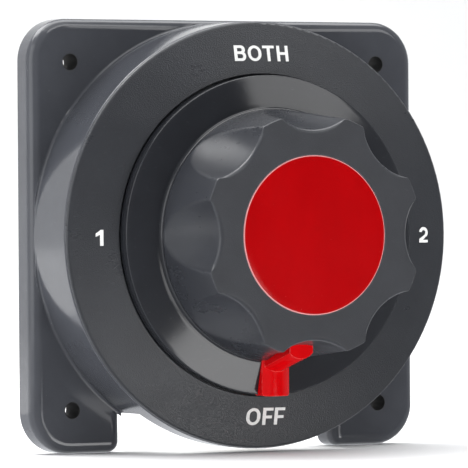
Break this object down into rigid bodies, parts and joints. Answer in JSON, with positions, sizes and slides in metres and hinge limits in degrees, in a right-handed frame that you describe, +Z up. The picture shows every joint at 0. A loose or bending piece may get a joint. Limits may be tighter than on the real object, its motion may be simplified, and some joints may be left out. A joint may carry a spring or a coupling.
{
  "type": "battery selector switch",
  "caption": "Panel-mounted rotary battery selector switch with a fluted knob, red pointer, OFF-1-BOTH-2 dial and stud terminals behind a cable cut-out.",
  "frame": {"origin": "centre of the mounting plate's back face, on the panel", "axes": "+Y into the panel, +Z up towards BOTH, +X right when facing the dial; the shaft lies along Y"},
  "size_m": [0.133, 0.0685, 0.133],
  "materials": {
    "housing_plastic": "satin moulded charcoal grey",
    "dial_plastic": "fine moulded grain, charcoal grey",
    "marking_white": "printed white",
    "seal_rubber": "matt",
    "phenolic": "moulded, slightly glossy",
    "steel": "plated",
    "copper": "bare copper",
    "brass": "machined",
    "knob_plastic": "polished dark blue-grey, matt on the front",
    "pointer_red": "glossy",
    "label_red": "glossy, clear-faced"
  },
  "bodies": {
    "housing": {"housing": "housing_plastic", "dial_plate": "dial_plastic", "dial_markings": "marking_white", "dial_gasket": "seal_rubber", "base_gasket": "seal_rubber", "contact_base": "phenolic", "base_screws": "steel", "fixed_contact_1": "copper", "fixed_contact_2": "copper", "common_contact": "copper", "terminal_stud_1": "brass", "terminal_stud_2": "brass", "terminal_stud_common": "brass", "terminal_washers": "brass", "terminal_lock_washers": "steel", "terminal_nuts": "brass", "shaft_seal": "seal_rubber"},
    "knob": {"knob": "knob_plastic", "pointer": "pointer_red", "knob_label": "label_red", "knob_screw": "steel", "drive_shaft": "brass", "drive_pin": "steel", "contact_carrier": "phenolic", "thrust_washer": "steel", "retaining_ring": "steel", "contact_springs": "steel", "detent_springs": "steel"},
    "moving_contact": {"moving_contact": "copper"},
    "detent_balls": {"detent_balls": "steel"}
  },
  "joints": [
    {"name": "knob_turn", "type": "hinge", "parent": "housing", "child": "knob", "pos_m": [0, 0, 0], "axis": [0, -1, 0], "continuous": true},
    {"name": "contact_float", "type": "slide", "parent": "knob", "child": "moving_contact", "axis": [0, -1, 0], "range_m": [0, 0.0008], "stiffness_N_per_m": 1000, "springref_m": -0.002, "deforming": ["contact_springs"]},
    {"name": "detent_slide", "type": "slide", "parent": "knob", "child": "detent_balls", "axis": [0, -1, 0], "range_m": [0, 0.0008], "stiffness_N_per_m": 200, "springref_m": 0.002, "deforming": ["detent_springs"]}
  ]
}
